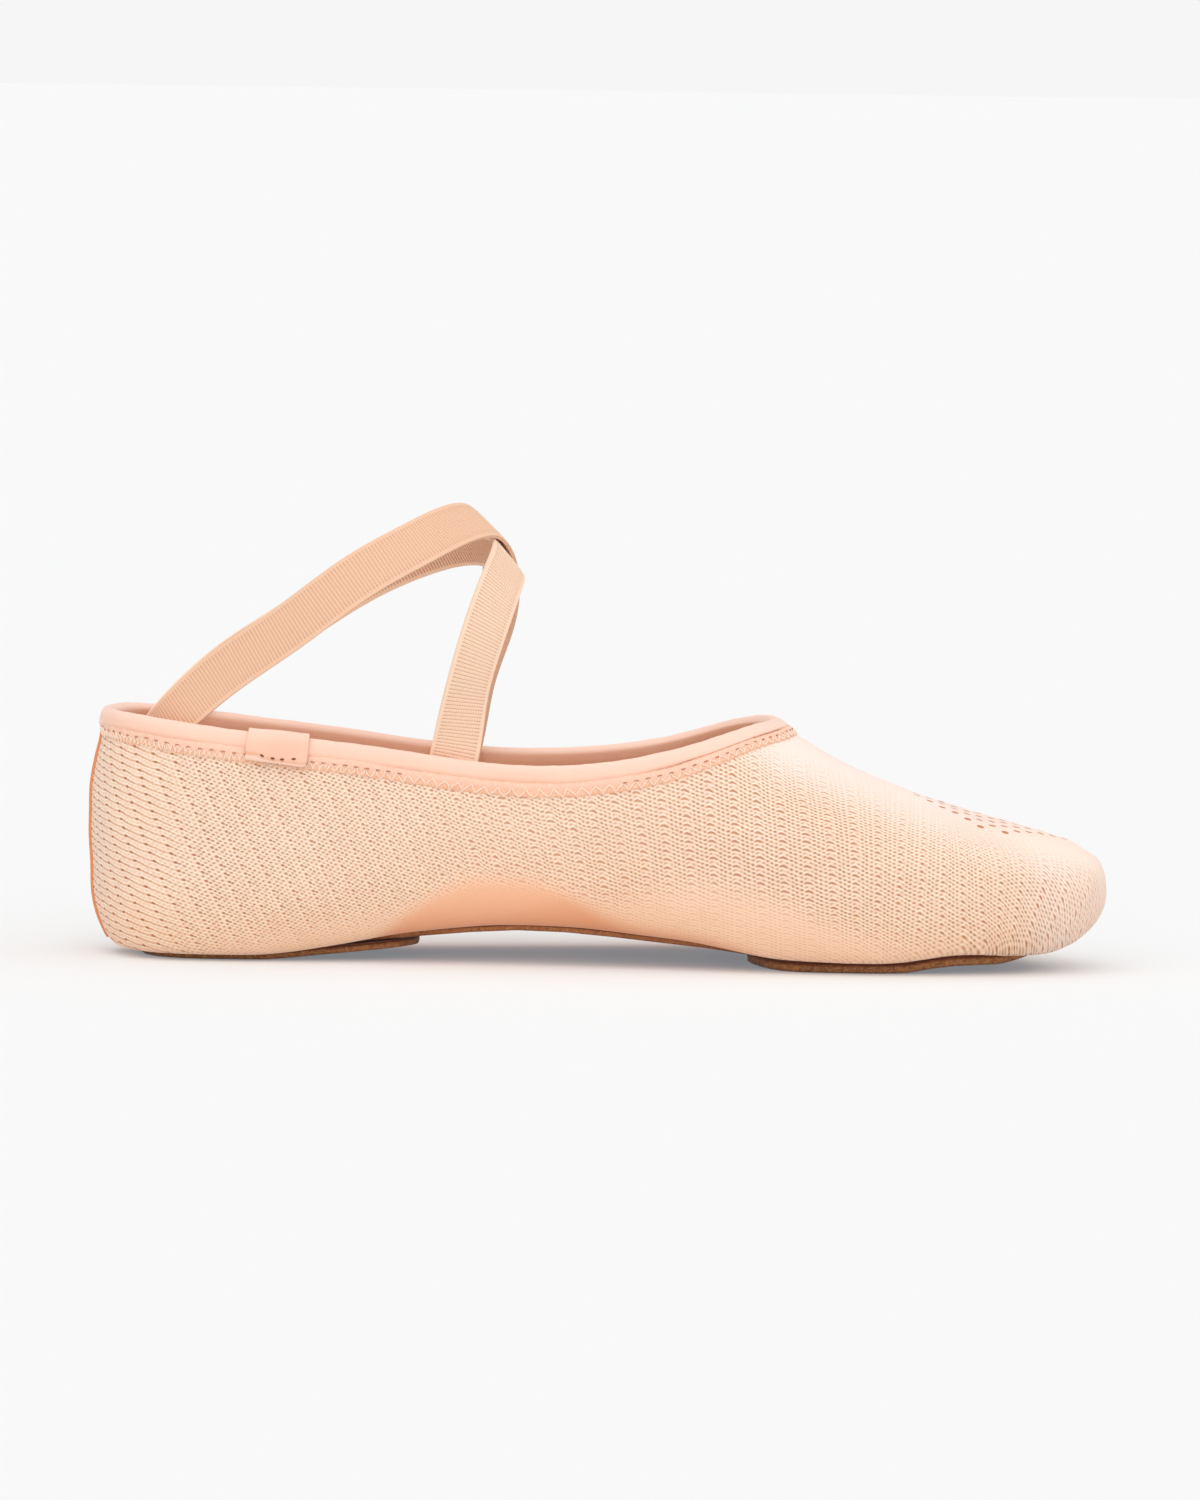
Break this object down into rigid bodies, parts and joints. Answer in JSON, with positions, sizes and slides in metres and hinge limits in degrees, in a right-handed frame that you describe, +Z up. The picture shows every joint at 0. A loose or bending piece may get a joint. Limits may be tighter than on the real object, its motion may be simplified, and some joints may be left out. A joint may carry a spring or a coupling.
{
  "type": "ballet slipper",
  "caption": "Soft knitted split-sole ballet slipper for the left foot, with a bound collar and crossed elastics.",
  "frame": {"origin": "midway along and across the slipper's box, on the plane it stands on", "axes": "+X from heel to toe, +Y to the outer side of the left foot, +Z up"},
  "size_m": [0.2402, 0.0898, 0.1076],
  "materials": {
    "knit": "matte openwork knit",
    "binding": "matte folded bias strip",
    "panel": "matte cut edge",
    "suede": "napped suede",
    "lining": "matte brushed jersey",
    "elastic": "ribbed woven elastic"
  },
  "bodies": {
    "root": {"upper": "knit", "collar_binding": "binding", "collar_tab": "binding", "arch_panel": "panel", "heel_pad": "suede", "forefoot_pad": "suede", "insole": "lining", "rear_elastic": "elastic", "front_elastic": "elastic"}
  },
  "joints": []
}
